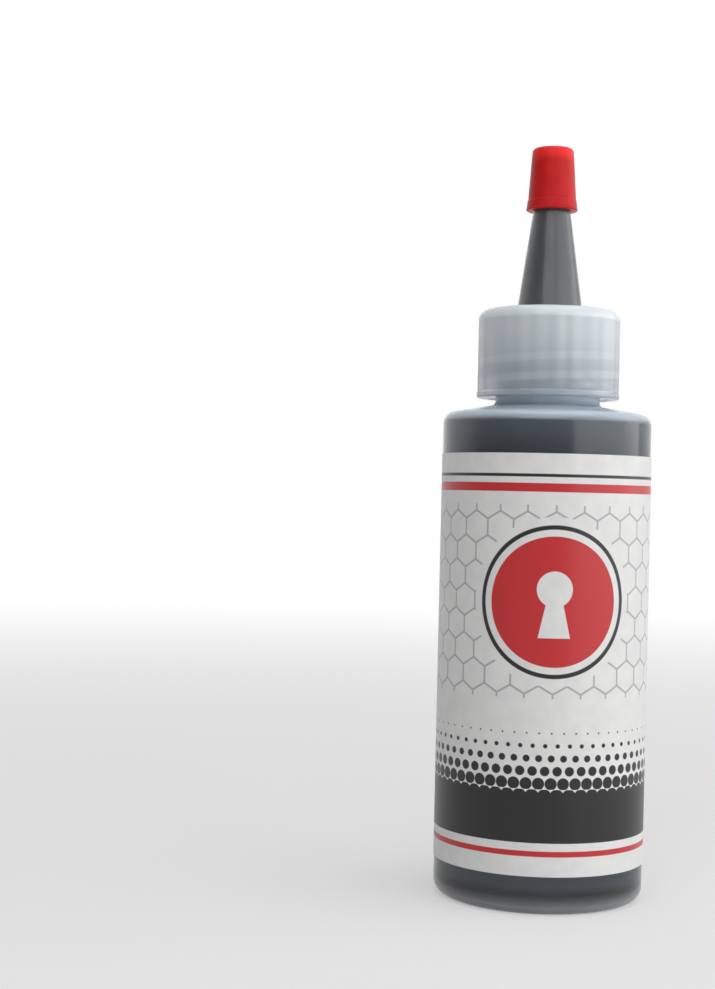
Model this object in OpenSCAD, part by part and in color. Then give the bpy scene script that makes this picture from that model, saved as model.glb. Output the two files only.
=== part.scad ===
// Squeeze bottle of dry graphite lubricant with a screw-on spout cap and a pull-off sealing tip.
// Millimetres, +Z up, origin at the middle of the ring that the bottle stands on.
// The front of the label faces -Y.

/* [Bottle] */
// Outer diameter of the bottle's body
body_d = 35; // [32:0.5:42]
// Height at which the shoulder meets the neck
shoulder_z = 82.6; // [65:0.2:100]
// Thickness of the body's wall and shoulder
body_wall = 1; // [0.8:0.1:1.4]
// Thickness of the base
base_wall = 2.2; // [1.4:0.1:3]
// Outer radius of the heel, where the wall turns into the base
heel_r = 2.2; // [1.6:0.2:4]
// Radius of the heel inside the bottle
inner_heel_r = 1.6; // [1.2:0.2:3]
// Outer radius of the shoulder's corner
shoulder_r = 2; // [1.75:0.25:4]
// Fall of the shoulder from the neck to its corner, in degrees
shoulder_slope = 10; // [4:1:14]
// Rise of the hollow under the base
push_up = 1.2; // [0.6:0.1:2]
// Width of the flat ring that the bottle stands on
foot_w = 2; // [1:0.25:4]

/* [Neck] */
// Outer diameter of the neck between its threads
neck_d = 17.6; // [16.6:0.2:19]
// Thickness of the neck's wall
neck_wall = 1.4; // [1:0.1:2]
// Height of the neck above the shoulder
neck_h = 14.3; // [14:0.1:20]
// Pitch of the screw thread
thread_pitch = 3.175; // [2.9:0.025:3.5]
// Height of the neck's thread above its root
thread_depth = 1; // [0.8:0.05:1.2]
// Turns of thread on the neck
neck_thread_turns = 1.5; // [1:0.25:1.75]
// Height of the thread's low end above the shoulder
neck_thread_low = 3.8; // [3.6:0.1:5.2]

/* [Label] */
// Height of the label's lower edge above the base
label_low = 6.4; // [5:0.2:15]
// Bare wall between the label's upper edge and the shoulder
label_top_gap = 8.4; // [5:0.2:15]
// Thickness of the label
label_t = 0.1; // [0.06:0.02:0.2]
// Bare strip at the back between the label's two ends
label_gap = 5; // [2:0.5:10]

/* [Cap] */
// Bare neck between the shoulder and the cap's skirt
cap_foot_gap = 1.2; // [1:0.1:1.8]
// Thickness of the skirt between its thread and the grooves outside
cap_wall = 1.8; // [1.3:0.05:2.2]
// Thickness of the cap's top
cap_top_wall = 1.75; // [1.3:0.05:2.5]
// Radius of the cap's upper edge
cap_edge_r = 2; // [1:0.1:2.4]
// Number of grip ribs round the skirt
rib_count = 25; // [18:1:30]
// Height of a grip rib
rib_depth = 0.1; // [0.06:0.02:0.2]
// Radius of a grip rib's round back
rib_r = 2; // [1.4:0.1:2.4]
// Height of the plain lip round the bottom of the skirt
cap_lip_h = 1; // [0.6:0.1:2]
// Step from the ribs out to the plain lip
cap_lip_out = 0.05; // [0.05:0.05:0.2]
// Turns of thread inside the skirt
cap_thread_turns = 1.25; // [0.75:0.25:1.25]
// Length of the sealing ring that plugs the neck
plug_len = 2.4; // [1.5:0.1:4]
// Thickness of the sealing ring
plug_wall = 1; // [0.7:0.1:1.5]

/* [Spout] */
// Height of the spout above the cap's top
spout_h = 26; // [20:0.1:32]
// Outer diameter of the spout where it leaves the cap
spout_base_d = 11; // [10:0.2:12.4]
// Outer diameter of the spout's end
spout_tip_d = 3.7; // [3.2:0.1:4.2]
// Thickness of the spout's wall where it leaves the cap
spout_wall = 1.5; // [1.2:0.1:2.3]
// Diameter of the hole in the spout's end
orifice_d = 1.6; // [1.2:0.1:2]

/* [Sealing tip] */
// Length of spout that the sealing tip covers
tip_cover = 9.1; // [7:0.1:13]
// Thickness of the tip's side just above its bead
tip_side_wall = 1.05; // [0.9:0.05:1.4]
// Thickness of the tip's side at its top
tip_crown_wall = 1.5; // [1.3:0.05:2]
// Thickness of the tip's top
tip_top_wall = 1.35; // [1:0.05:2]
// Radius of the tip's upper edge
tip_edge_r = 0.7; // [0.4:0.1:0.9]
// Height of the flared bead round the tip's mouth
bead_h = 1.7; // [1.5:0.1:3]
// Step from the tip's side out to the bead
bead_out = 0.3; // [0.2:0.05:0.7]
// Radius of the bead's rim
bead_r = 0.4; // [0.3:0.05:0.5]

/* [Powder] */
// Depth of the powder's surface below the foot of the neck
powder_head = 2.4; // [1.6:0.2:20]
// Thickness of the powder that clings inside the neck and spout
dust_t = 0.2; // [0.15:0.05:0.3]

/* [Fits] */
// Gap between the two threads and between each crest and the wall facing it
thread_clear = 0.3; // [0.25:0.05:0.4]
// Gap round the sealing ring in the neck
plug_clear = 0.15; // [0.1:0.05:0.3]
// Gap between faces that seat on each other
seat_gap = 0.15; // [0.1:0.05:0.3]
// Gap between the spout and the sealing tip
tip_clear = 0.12; // [0.1:0.02:0.25]
// Gap between the powder and the wall it lies against
powder_clear = 0.08; // [0.06:0.02:0.15]
// Thickness of the glue under the label
glue_t = 0.05; // [0.04:0.01:0.1]

/* [Hidden] */
$fn = 96;

// How far a cut runs past the face that it opens, and how far a joined piece is sunk in its carrier
overrun = 0.5;
sunk = 0.3;

// Bottle
body_r = body_d / 2;
neck_r = neck_d / 2;
neck_bore_r = neck_r - neck_wall;
neck_top_z = shoulder_z + neck_h;
corner_x = body_r - shoulder_r;
corner_drop = shoulder_r + sin(shoulder_slope) * (corner_x - neck_r);
corner_z = shoulder_z - corner_drop / cos(shoulder_slope);
hollow_r = body_r - heel_r - foot_w;
dome_r = (hollow_r * hollow_r + push_up * push_up) / (2 * push_up);
label_h = shoulder_z - label_top_gap - label_low;
label_gap_angle = 360 * label_gap / (PI * body_d);
powder_z = shoulder_z - powder_head;

// Thread: both ridges share one profile, and the skirt's winds half a pitch under the neck's
thread_steps = 36;
thread_fade_steps = 6;
thread_least_share = 0.15;
thread_first_angle = 180;
ridge_root_share = 0.56;
ridge_crest_share = 0.25;
ridge_root_w = ridge_root_share * thread_pitch;
ridge_crest_w = ridge_crest_share * thread_pitch;
neck_thread_z = shoulder_z + neck_thread_low;
cap_thread_lag_share = 0.25;
cap_thread_z = neck_thread_z + (cap_thread_lag_share - 1 / 2) * thread_pitch;
cap_thread_angle = thread_first_angle + 360 * cap_thread_lag_share;

// Cap
cap_low_z = shoulder_z + cap_foot_gap;
cap_ceiling_z = neck_top_z + seat_gap;
cap_top_z = cap_ceiling_z + cap_top_wall;
cap_bore_r = neck_r + thread_depth + thread_clear;
cap_thread_crest_r = neck_r + thread_clear;
cap_groove_r = cap_bore_r + cap_wall;
cap_rib_r = cap_groove_r + rib_depth;
cap_lip_r = cap_rib_r + cap_lip_out;
rib_first_angle = -90;
plug_r = neck_bore_r - plug_clear;
plug_low_z = cap_ceiling_z - plug_len;

// Spout: outer radius and bore radius at a height above the cap's top
spout_base_r = spout_base_d / 2;
spout_top_z = cap_top_z + spout_h;
bore_base_r = spout_base_r - spout_wall;
function spout_r_at(h) = spout_base_r + (spout_tip_d / 2 - spout_base_r) * h / spout_h;
function bore_r_at(h) = bore_base_r + (orifice_d / 2 - bore_base_r) * h / spout_h;

// Sealing tip
tip_low_z = spout_top_z - tip_cover;
tip_roof_z = spout_top_z + seat_gap;
tip_top_z = tip_roof_z + tip_top_wall;
bead_top_z = tip_low_z + bead_h;
tip_mouth_z = tip_low_z - overrun;
tip_mouth_r = spout_r_at(tip_mouth_z - cap_top_z) + tip_clear;
tip_side_r = spout_r_at(bead_top_z - cap_top_z) + tip_clear + tip_side_wall;
tip_roof_r = spout_r_at(tip_roof_z - cap_top_z) + tip_clear;
tip_crown_r = spout_tip_d / 2 + tip_clear + tip_crown_wall;
tip_lean = atan((tip_side_r - tip_crown_r) / (tip_top_z - bead_top_z));
bead_rim_r = tip_side_r + bead_out;

// Half section of the body, drawn a given depth inside its wall and shoulder and a given height
// above its base, with its own heel radius
module body_section(depth, floor_z, turn_r) {
    corner_rest = shoulder_r - depth;
    side_x = body_r - depth;
    turn_x = side_x - turn_r;
    turn_z = floor_z + turn_r;
    slope_x = corner_x + corner_rest * sin(shoulder_slope);
    slope_z = corner_z + corner_rest * cos(shoulder_slope);
    difference() {
        union() {
            polygon([
                [0, floor_z], [turn_x, floor_z], [turn_x, turn_z], [side_x, turn_z],
                [side_x, corner_z], [corner_x, corner_z], [slope_x, slope_z],
                [0, slope_z + slope_x * tan(shoulder_slope)]
            ]);
            translate([turn_x, turn_z]) circle(turn_r);
            translate([corner_x, corner_z]) circle(corner_rest);
        }
        translate([0, push_up - dome_r]) circle(dome_r + floor_z);
    }
}

// Height of the shoulder's inner face at a distance from the axis
function inner_shoulder_z_at(x) =
    shoulder_z - body_wall / cos(shoulder_slope) + (neck_r - x) * tan(shoulder_slope);

// Share of its full height that a ridge has at one of its steps: it runs out at both ends
function ridge_share(i, last) =
    max(thread_least_share, min(1, i / thread_fade_steps, (last - i) / thread_fade_steps));

// A ridge that winds up a round wall, from a root sunk in the wall to a crest in the open.
// It winds inside the wall where the crest is nearer the axis than the wall.
module thread_ridge(wall_r, crest_r, low_z, first_angle, turns) {
    last = round(turns * thread_steps);
    inward = crest_r < wall_r;
    root_r = inward ? wall_r + sunk : wall_r - sunk;
    points = [
        for (i = [0 : last])
            let (
                a = first_angle + 360 * i / thread_steps,
                z = low_z + thread_pitch * i / thread_steps,
                c = wall_r + (crest_r - wall_r) * ridge_share(i, last)
            )
            each [
                [root_r * cos(a), root_r * sin(a), z - ridge_root_w / 2],
                [c * cos(a), c * sin(a), z - ridge_crest_w / 2],
                [c * cos(a), c * sin(a), z + ridge_crest_w / 2],
                [root_r * cos(a), root_r * sin(a), z + ridge_root_w / 2]
            ]
    ];
    end = 4 * last;
    sides = [
        for (i = [0 : last - 1], k = [0 : 3])
            let (p = 4 * i + k, q = 4 * i + (k + 1) % 4)
            each [[p, q, q + 4], [p, q + 4, p + 4]]
    ];
    faces = concat([[2, 1, 0], [3, 2, 0]], sides, [[end, end + 1, end + 2], [end, end + 2, end + 3]]);
    polyhedron(points, inward ? [for (f = faces) [f[2], f[1], f[0]]] : faces);
}

module squeeze_bottle() {
    color([0.86, 0.89, 0.91, 0.6]) union() {
        rotate_extrude() difference() {
            union() {
                body_section(0, 0, heel_r);
                translate([0, corner_z]) square([neck_r, neck_top_z - corner_z]);
            }
            body_section(body_wall, base_wall, inner_heel_r);
            translate([0, corner_z]) square([neck_bore_r, neck_top_z - corner_z + overrun]);
        }
        thread_ridge(neck_r, neck_r + thread_depth, neck_thread_z, thread_first_angle, neck_thread_turns);
    }
}

module wrap_label() {
    color([0.93, 0.93, 0.92])
        rotate(90 + label_gap_angle / 2)
            rotate_extrude(angle = 360 - label_gap_angle)
                translate([body_r + glue_t, label_low]) square([label_t, label_h]);
}

module graphite_powder() {
    color([0.17, 0.18, 0.2])
        rotate_extrude() intersection() {
            body_section(body_wall + powder_clear, base_wall + powder_clear, inner_heel_r - powder_clear);
            square([body_r, powder_z]);
        }
}

// Powder that clings to the bore of the neck, up to the sealing ring
module neck_dust() {
    film_r = neck_bore_r - powder_clear;
    film_low_z = inner_shoulder_z_at(neck_bore_r);
    color([0.22, 0.23, 0.25])
        rotate_extrude()
            translate([film_r - dust_t, film_low_z])
                square([dust_t, plug_low_z - seat_gap - film_low_z]);
}

// Outline of the skirt seen from above, with its round-backed ribs
module ribbed_outline() {
    circle(cap_groove_r);
    for (i = [0 : rib_count - 1]) {
        rotate(rib_first_angle + 360 * i / rib_count) translate([cap_rib_r - rib_r, 0]) circle(rib_r);
    }
}

// Half section of the cap's outer envelope, which rounds the ends of the ribs
module cap_envelope() {
    edge_x = cap_lip_r - cap_edge_r;
    edge_z = cap_top_z - cap_edge_r;
    polygon([
        [0, cap_low_z], [cap_lip_r, cap_low_z], [cap_lip_r, edge_z], [edge_x, edge_z],
        [edge_x, cap_top_z], [0, cap_top_z]
    ]);
    translate([edge_x, edge_z]) circle(cap_edge_r);
}

module spout_cap() {
    skirt_h = cap_top_z - cap_low_z;
    color([0.88, 0.9, 0.91, 0.6]) union() {
        difference() {
            union() {
                intersection() {
                    translate([0, 0, cap_low_z]) linear_extrude(skirt_h + overrun) ribbed_outline();
                    rotate_extrude() cap_envelope();
                }
                translate([0, 0, cap_low_z]) cylinder(h = cap_lip_h, r = cap_lip_r);
                translate([0, 0, cap_top_z - sunk])
                    cylinder(h = spout_h + sunk, r1 = spout_r_at(-sunk), r2 = spout_tip_d / 2);
            }
            translate([0, 0, cap_low_z - overrun])
                cylinder(h = cap_ceiling_z - cap_low_z + overrun, r = cap_bore_r);
            translate([0, 0, cap_ceiling_z - overrun])
                cylinder(
                    h = spout_top_z - cap_ceiling_z + 2 * overrun,
                    r1 = bore_r_at(-cap_top_wall - overrun),
                    r2 = bore_r_at(spout_h + overrun)
                );
        }
        translate([0, 0, plug_low_z]) difference() {
            cylinder(h = plug_len + sunk, r = plug_r);
            translate([0, 0, -overrun]) cylinder(h = plug_len + sunk + 2 * overrun, r = plug_r - plug_wall);
        }
        thread_ridge(cap_bore_r, cap_thread_crest_r, cap_thread_z, cap_thread_angle, cap_thread_turns);
    }
}

// Powder that clings to the bore of the spout
module spout_dust() {
    low_h = -cap_top_wall;
    top_h = spout_h - seat_gap;
    low_r = bore_r_at(low_h) - powder_clear;
    top_r = bore_r_at(top_h) - powder_clear;
    color([0.25, 0.26, 0.28])
        translate([0, 0, cap_top_z])
            rotate_extrude()
                polygon([
                    [low_r - dust_t, low_h], [low_r, low_h],
                    [top_r, top_h], [top_r - dust_t, top_h]
                ]);
}

// The tip's upper edge is an arc that touches its leaning side and its flat top
module sealing_tip() {
    edge_z = tip_top_z - tip_edge_r;
    edge_x = tip_crown_r + (tip_top_z - edge_z) * tan(tip_lean) - tip_edge_r / cos(tip_lean);
    color([0.72, 0.14, 0.13]) rotate_extrude() difference() {
        union() {
            polygon([
                [0, tip_low_z], [bead_rim_r - bead_r, tip_low_z],
                [bead_rim_r, tip_low_z + bead_r], [tip_side_r, bead_top_z],
                [edge_x + tip_edge_r * cos(tip_lean), edge_z + tip_edge_r * sin(tip_lean)],
                [edge_x, edge_z], [edge_x, tip_top_z], [0, tip_top_z]
            ]);
            translate([edge_x, edge_z]) circle(tip_edge_r);
            translate([bead_rim_r - bead_r, tip_low_z + bead_r]) circle(bead_r);
        }
        polygon([
            [0, tip_mouth_z], [tip_mouth_r, tip_mouth_z],
            [tip_roof_r, tip_roof_z], [0, tip_roof_z]
        ]);
    }
}

squeeze_bottle();
wrap_label();
graphite_powder();
neck_dust();
spout_cap();
spout_dust();
sealing_tip();
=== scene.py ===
import math

import bpy
import numpy as np
from mathutils import Matrix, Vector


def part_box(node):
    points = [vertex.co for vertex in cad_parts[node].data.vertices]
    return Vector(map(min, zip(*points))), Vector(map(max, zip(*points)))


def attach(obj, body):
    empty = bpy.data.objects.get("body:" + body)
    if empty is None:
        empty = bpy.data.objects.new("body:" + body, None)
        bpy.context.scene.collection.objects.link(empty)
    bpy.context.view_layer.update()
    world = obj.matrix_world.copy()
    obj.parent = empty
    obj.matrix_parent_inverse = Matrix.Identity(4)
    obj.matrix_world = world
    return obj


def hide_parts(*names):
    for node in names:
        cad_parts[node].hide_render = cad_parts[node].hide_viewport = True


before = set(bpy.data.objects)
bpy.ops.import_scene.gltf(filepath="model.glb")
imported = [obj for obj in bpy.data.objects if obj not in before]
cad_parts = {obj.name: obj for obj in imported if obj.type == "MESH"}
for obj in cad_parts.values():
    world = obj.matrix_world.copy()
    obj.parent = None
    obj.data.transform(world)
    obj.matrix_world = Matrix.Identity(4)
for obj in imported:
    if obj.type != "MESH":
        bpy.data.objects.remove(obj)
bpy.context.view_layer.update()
scene = bpy.context.scene
mm = 0.001  # sections below are in millimetres, meshes in metres
samePoint = 1e-4  # points of a section closer than this many millimetres are one
sharpFrom = 40.0  # edges that turn by more degrees than this are shaded sharp
noiseSpan = (0.3, 0.7)  # most values of a noise lie in here
print("frame loaded:", ", ".join(sorted(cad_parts)))


# highest value of a CAD node's box along one axis, in millimetres
def nodeTop(node, axis):
    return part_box(node)[1][axis] / mm


# lowest value of a CAD node's box along one axis, in millimetres
def nodeLow(node, axis):
    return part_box(node)[0][axis] / mm


# arc in a half section: (centreR + radius cos t, centreZ + radius sin t), t from first to last in degrees
def arc(centreR, centreZ, radius, first, last, steps):
    t = np.radians(np.linspace(first, last, steps))
    return np.stack([centreR + radius * np.cos(t), centreZ + radius * np.sin(t)], axis=1)


# straight stretch of a half section: (1 - s) start + s end, s from 0 to 1
def line(start, end, steps):
    s = np.linspace(0, 1, steps)[:, None]
    return (1 - s) * np.array(start, float) + s * np.array(end, float)


# one half section from its stretches; where two of them meet, the shared point is kept once
def joinRuns(*runs):
    points = np.concatenate(runs)
    apart = np.linalg.norm(np.diff(points, axis=0), axis=1) > samePoint
    return points[np.concatenate([[True], apart])]


# outward normals of a half section that keeps its material on the left: the tangent turned by -90 degrees
def sectionNormals(section, closed):
    if closed:
        tangent = np.roll(section, -1, axis=0) - np.roll(section, 1, axis=0)
    else:
        tangent = np.gradient(section, axis=0)
    tangent /= np.linalg.norm(tangent, axis=1)[:, None]
    return np.stack([tangent[:, 1], -tangent[:, 0]], axis=1)


# smooth step from 0 to 1: 3x^2 - 2x^3 of the clipped value
def ease(x):
    x = np.clip(x, 0, 1)
    return x * x * (3 - 2 * x)


# slow unevenness between about -1 and 1: sine waves of whole turns round the axis and a length along it
def unevenness(angle, along, waves):
    total = sum(weight for _, _, _, weight in waves)
    parts = [np.sin(turns * angle + 2 * np.pi * along / length + phase) * weight
             for turns, length, phase, weight in waves]
    return sum(parts) / total


# screw ridge, 0 to 1: its middle climbs one pitch a turn, its height is a trapezoid of the distance
# from that middle, and it runs out over a part of a turn at both ends
def threadRidge(angle, height, thread):
    turn = np.mod((angle - math.radians(thread["startAngle"])) / (2 * np.pi), 1)
    ridge = np.zeros(np.broadcast(angle, height).shape)
    for lap in range(math.ceil(thread["turns"]) + 1):
        place = turn + lap
        distance = np.abs(height - thread["low"] - thread["pitch"] * place)
        flank = (thread["rootWidth"] / 2 - distance) / ((thread["rootWidth"] - thread["crestWidth"]) / 2)
        runOut = np.minimum(place, thread["turns"] - place) / thread["runOut"]
        ridge = np.maximum(ridge, ease(flank) * ease(runOut))
    return ridge


# mesh from points in millimetres and faces; faces are turned round if they enclose a negative volume
def makeMesh(name, points, quads, triangles):
    corners = np.concatenate([quads[:, [0, 1, 2]], quads[:, [0, 2, 3]], triangles])
    a, b, c = (points[corners[:, k]] for k in range(3))
    if np.einsum("ij,ij->", a, np.cross(b, c)) < 0:
        quads, triangles = quads[:, ::-1], triangles[:, ::-1]
    mesh = bpy.data.meshes.new(name)
    mesh.from_pydata((points * mm).tolist(), [], quads.tolist() + triangles.tolist())
    mesh.validate()
    mesh.shade_smooth()
    mesh.set_sharp_from_angle(angle=math.radians(sharpFrom))
    return mesh


# turned surface: point(i, a) = (r cos a, r sin a, z) on a grid of section point i and angle a.
# An open section ends on the axis at both ends, and each end closes in one point.
def turnedMesh(name, radius, height, angles, closed):
    grid = np.stack([radius * np.cos(angles), radius * np.sin(angles), height], axis=-1)
    poles = np.zeros((0, 3))
    if not closed:
        poles = grid[[0, -1]].mean(axis=1)
        grid = grid[1:-1]
    rows, columns = grid.shape[:2]
    index = np.arange(rows * columns).reshape(rows, columns)
    here, above = (index, np.roll(index, -1, axis=0)) if closed else (index[:-1], index[1:])
    quads = np.stack([here, np.roll(here, -1, axis=1), np.roll(above, -1, axis=1), above], axis=-1)
    triangles = np.zeros((0, 3), int)
    if not closed:
        ring = np.roll(index, -1, axis=1)
        first = np.full(columns, rows * columns)
        low = np.stack([first, ring[0], index[0]], axis=1)
        top = np.stack([first + 1, index[-1], ring[-1]], axis=1)
        triangles = np.concatenate([low, top])
    return makeMesh(name, np.concatenate([grid.reshape(-1, 3), poles]), quads.reshape(-1, 4), triangles)


# section carried round the axis, with a relief in millimetres along its normals
def turnSection(name, section, angles, closed, relief=0.0):
    normal = sectionNormals(section, closed)
    radius = section[:, :1] + normal[:, :1] * relief + 0 * angles
    height = section[:, 1:] + normal[:, 1:] * relief + 0 * angles
    return turnedMesh(name, radius, height, angles, closed)


# puts a mesh into the scene in place of a CAD node
def addPiece(name, mesh, material, body, node):
    piece = bpy.data.objects.new(name, mesh)
    scene.collection.objects.link(piece)
    mesh.materials.append(material)
    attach(piece, body)
    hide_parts(node)
    print("piece:", name, len(mesh.polygons), "faces")


# evenly spaced angles round the axis
def roundAngles(count):
    return np.linspace(0, 2 * np.pi, count, endpoint=False)


# a new material, its node tree and its Principled shader
def newMaterial(name):
    material = bpy.data.materials.new(name)
    material.use_nodes = True
    tree = material.node_tree
    return material, tree, tree.nodes["Principled BSDF"]


# sets a socket to a value, or links another socket to it
def feed(tree, socket, value):
    if isinstance(value, bpy.types.NodeSocket):
        tree.links.new(value, socket)
    else:
        socket.default_value = value


def calc(tree, operation, first, second=0.0, third=0.0):
    node = tree.nodes.new("ShaderNodeMath")
    node.operation = operation
    for socket, value in zip(node.inputs, (first, second, third)):
        feed(tree, socket, value)
    return node.outputs[0]


def mixColour(tree, share, first, second):
    node = tree.nodes.new("ShaderNodeMix")
    node.data_type = "RGBA"
    feed(tree, node.inputs["Factor"], share)
    feed(tree, node.inputs["A"], first)
    feed(tree, node.inputs["B"], second)
    return node.outputs["Result"]


# maps a value from one span to another, clipped
def remap(tree, value, fromLow, fromHigh, toLow, toHigh, smooth=False):
    node = tree.nodes.new("ShaderNodeMapRange")
    node.interpolation_type = "SMOOTHSTEP" if smooth else "LINEAR"
    for socket, entry in zip(node.inputs, (value, fromLow, fromHigh, toLow, toHigh)):
        feed(tree, socket, entry)
    return node.outputs["Result"]


# object coordinates of the piece
def objectPlace(tree):
    return tree.nodes.new("ShaderNodeTexCoord").outputs["Object"]


# the same coordinates taken apart: x, y and z
def splitPlace(tree):
    node = tree.nodes.new("ShaderNodeSeparateXYZ")
    tree.links.new(objectPlace(tree), node.inputs[0])
    return node.outputs


# smooth change with height, between two heights in millimetres
def heightStep(tree, z, low, high, first, last):
    return remap(tree, z, low * mm, high * mm, first, last, True)


# noise of a given grain size in millimetres, with its coordinates stretched by axis
def grain(tree, size, detail=3.0, stretch=(1, 1, 1)):
    mapping = tree.nodes.new("ShaderNodeMapping")
    mapping.inputs["Scale"].default_value = stretch
    tree.links.new(objectPlace(tree), mapping.inputs["Vector"])
    node = tree.nodes.new("ShaderNodeTexNoise")
    node.inputs["Scale"].default_value = 1 / (size * mm)
    node.inputs["Detail"].default_value = detail
    tree.links.new(mapping.outputs["Vector"], node.inputs["Vector"])
    return node.outputs["Fac"]


# bump of a given depth in millimetres on a shader
def addBump(tree, shader, height, depth, strength=1.0):
    node = tree.nodes.new("ShaderNodeBump")
    node.inputs["Distance"].default_value = depth * mm
    node.inputs["Strength"].default_value = strength
    tree.links.new(height, node.inputs["Height"])
    tree.links.new(node.outputs["Normal"], shader.inputs["Normal"])


# share of a screw ridge, 0 to 1, at a place round the axis: its middle climbs one pitch a turn, and it
# runs out over a part of a turn at both ends
def threadShare(tree, place, thread):
    x, y, z = place
    turned = calc(tree, "SUBTRACT", calc(tree, "ARCTAN2", y, x), math.radians(thread["startAngle"]))
    turn = calc(tree, "FLOORED_MODULO", calc(tree, "DIVIDE", turned, 2 * math.pi), 1.0)
    rise = calc(tree, "SUBTRACT", calc(tree, "DIVIDE", z, mm), thread["low"])
    climbed = calc(tree, "DIVIDE", rise, thread["pitch"])
    lap = calc(tree, "MAXIMUM", calc(tree, "ROUND", calc(tree, "SUBTRACT", climbed, turn)), 0.0)
    along = calc(tree, "ADD", turn, lap)
    away = calc(tree, "ABSOLUTE", calc(tree, "SUBTRACT", climbed, along))
    off = calc(tree, "MULTIPLY", away, thread["pitch"])
    toEnd = calc(tree, "MINIMUM", along, calc(tree, "SUBTRACT", thread["turns"], along))
    flank = remap(tree, off, thread["crestWidth"] / 2, thread["rootWidth"] / 2, 1, 0, True)
    return calc(tree, "MULTIPLY", flank, remap(tree, toEnd, 0, thread["runOut"], 0, 1, True))


# natural polyethylene: a waxy wall that lets most light through and scatters the rest
naturalPoly = {
    "cloudSize": 9.0,
    "roughSpread": 0.04,
    "refraction": 1.51,
    "milk": 0.8,
    "milkDepth": (1.1, 1.2, 1.3),
}


# clearness by height: it starts at the look's own share and changes over each step (from, to, change),
# heights in millimetres. Along a screw thread the wall is made milkier: on the bottle the thread makes the
# wall thicker, and on the cap the neck's thread is painted in as lighter bands, painted light from the
# crests behind it.
def naturalMaterial(name, look, steps, thread=None):
    poly = naturalPoly
    material, tree, shader = newMaterial(name)
    place = splitPlace(tree)
    cloud = grain(tree, poly["cloudSize"])
    haze = mixColour(tree, cloud, look["hazeDark"], look["hazePale"])
    # painted shade: the haze is painted darker and greyer over the heel of the bottle
    if "heelPaintedShade" in look:
        inHeelShade = heightStep(tree, place[2], *look["heelShadeSpan"], 1, 0)
        haze = mixColour(tree, inHeelShade, haze, look["heelPaintedShade"])
    feed(tree, shader.inputs["Base Color"], haze)
    low, high = look["rough"] - poly["roughSpread"], look["rough"] + poly["roughSpread"]
    feed(tree, shader.inputs["Roughness"], remap(tree, cloud, *noiseSpan, low, high))
    clear = look["clear"]
    for first, last, change in steps:
        clear = calc(tree, "ADD", heightStep(tree, place[2], first, last, 0, change), clear)
    if thread:
        ridge = threadShare(tree, place, thread)
        clear = calc(tree, "MULTIPLY_ADD", ridge, -look["threadMilk"], clear)
    feed(tree, shader.inputs["Transmission Weight"], clear)
    shader.inputs["IOR"].default_value = poly["refraction"]
    shader.inputs["Subsurface Weight"].default_value = poly["milk"]
    shader.inputs["Subsurface Radius"].default_value = poly["milkDepth"]
    shader.inputs["Subsurface Scale"].default_value = mm
    return material


# graphite: dark grey flakes with a faint metal sheen
graphiteLook = {
    "dark": (0.015, 0.017, 0.021, 1),
    "pale": (0.045, 0.053, 0.066, 1),
    "flakeSize": 0.35,
    "flakeDetail": 4.0,
    "flakeSpan": (0.35, 0.7),
    "flakeDepth": 0.05,
    "patchSize": 5.0,
    "patchLow": 0.4,
    "sheenRough": 0.5,
}


def graphiteMaterial(name):
    look = graphiteLook
    material, tree, shader = newMaterial(name)
    flakes = grain(tree, look["flakeSize"], look["flakeDetail"])
    patches = grain(tree, look["patchSize"])
    bright = remap(tree, flakes, *look["flakeSpan"], 0, 1)
    share = calc(tree, "MULTIPLY", bright, remap(tree, patches, *noiseSpan, look["patchLow"], 1))
    feed(tree, shader.inputs["Base Color"], mixColour(tree, share, look["dark"], look["pale"]))
    shader.inputs["Roughness"].default_value = look["sheenRough"]
    addBump(tree, shader, flakes, look["flakeDepth"])
    return material


# red polyethylene of the sealing tip
redLook = {
    "deep": (0.50, 0.010, 0.012, 1),
    "bright": (0.65, 0.016, 0.017, 1),
    # brighter red of the crown, partly painted light on the top of the tip
    "crown": (0.96, 0.030, 0.032, 1),
    "litCrownDepth": (0.6, 2.8),
    "cloudSize": 3.0,
    "roughLow": 0.30,
    "roughHigh": 0.42,
    "gloss": 0.16,
    "glow": 0.12,
    "glowDepth": (0.9, 0.12, 0.08),
    "skinGrain": 0.35,
    "skinDepth": 0.008,
}


# the crown of the tip is brighter than its hollow sides: partly the solid red, where no dark spout shows
# through, and partly painted light on the top
def redMaterial(top):
    look = redLook
    material, tree, shader = newMaterial("redPoly")
    cloud = grain(tree, look["cloudSize"])
    height = splitPlace(tree)[2]
    full, none = top - look["litCrownDepth"][0], top - look["litCrownDepth"][1]
    litCrownShare = heightStep(tree, height, none, full, 0, 1)
    sides = mixColour(tree, cloud, look["deep"], look["bright"])
    feed(tree, shader.inputs["Base Color"], mixColour(tree, litCrownShare, sides, look["crown"]))
    rough = remap(tree, cloud, *noiseSpan, look["roughLow"], look["roughHigh"])
    feed(tree, shader.inputs["Roughness"], rough)
    shader.inputs["Specular IOR Level"].default_value = look["gloss"]
    shader.inputs["Subsurface Weight"].default_value = look["glow"]
    shader.inputs["Subsurface Radius"].default_value = look["glowDepth"]
    shader.inputs["Subsurface Scale"].default_value = mm
    addBump(tree, shader, grain(tree, look["skinGrain"]), look["skinDepth"])
    return material


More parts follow.
